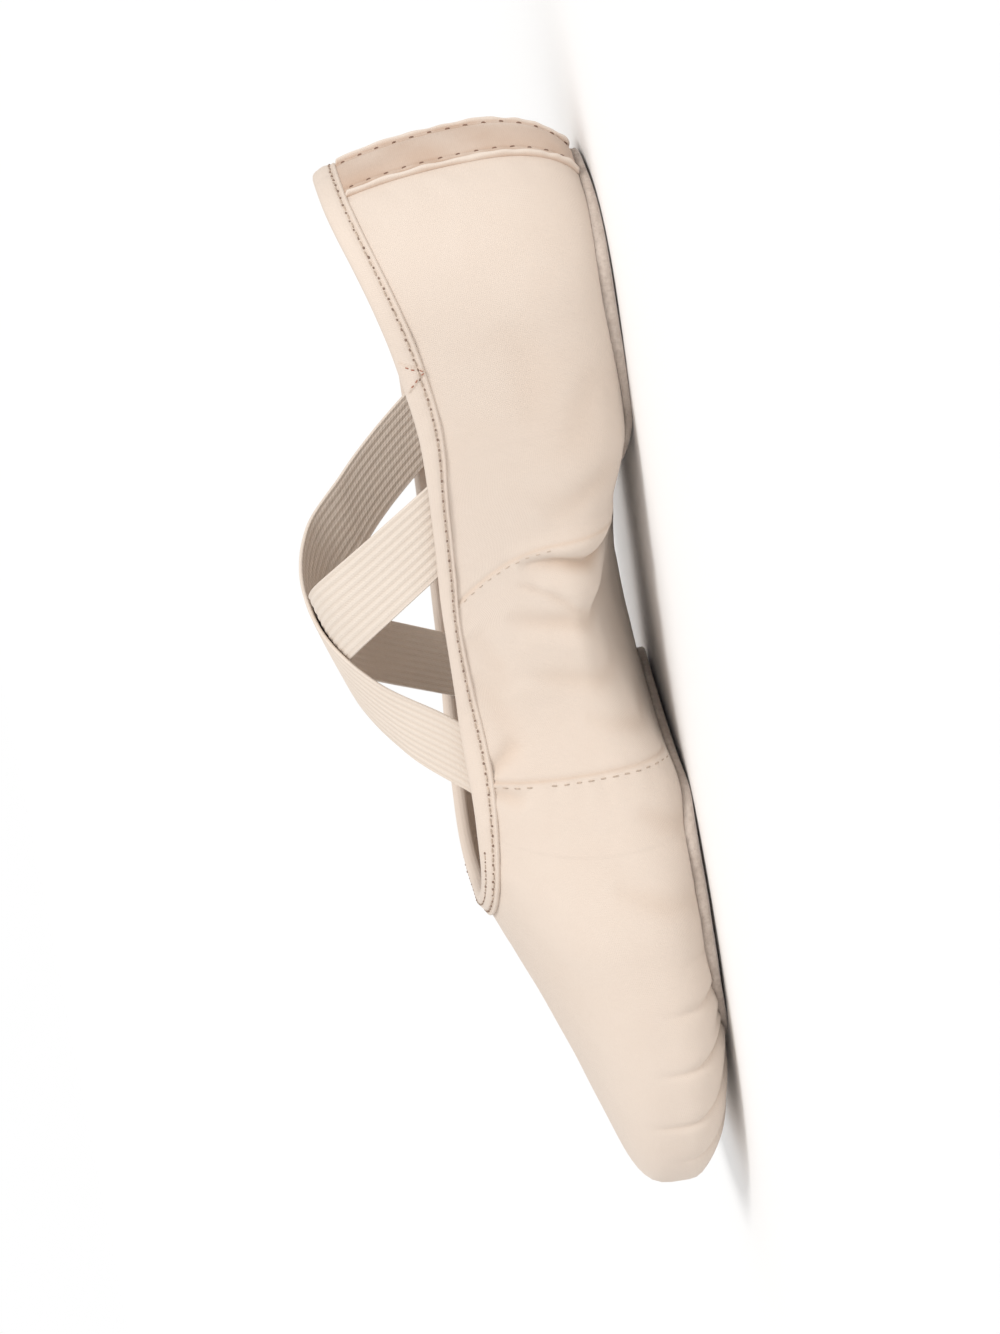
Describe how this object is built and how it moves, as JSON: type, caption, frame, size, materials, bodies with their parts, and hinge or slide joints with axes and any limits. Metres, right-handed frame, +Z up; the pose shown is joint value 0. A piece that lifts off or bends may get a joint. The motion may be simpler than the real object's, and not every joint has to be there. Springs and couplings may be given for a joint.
{
  "type": "canvas ballet shoe",
  "caption": "Soft canvas ballet shoe for the right foot with a suede split sole, gathered toe, bound collar and crossed instep elastics.",
  "frame": {"origin": "on the floor under the middle of the heel patch", "axes": "+X towards the toe, +Y towards the inner side, +Z up"},
  "size_m": [0.2561, 0.0905, 0.0771],
  "materials": {
    "canvas": "matt",
    "binding": "matt",
    "strip": "matt",
    "suede": "napped",
    "lining": "matt",
    "elastic": "matt"
  },
  "bodies": {
    "root": {"upper": "canvas", "collar_binding": "binding", "heel_strip": "strip", "sole_heel": "suede", "sole_forefoot": "suede", "insole_heel": "lining", "insole_forefoot": "lining", "elastic_inner": "elastic", "elastic_outer": "elastic"}
  },
  "joints": []
}
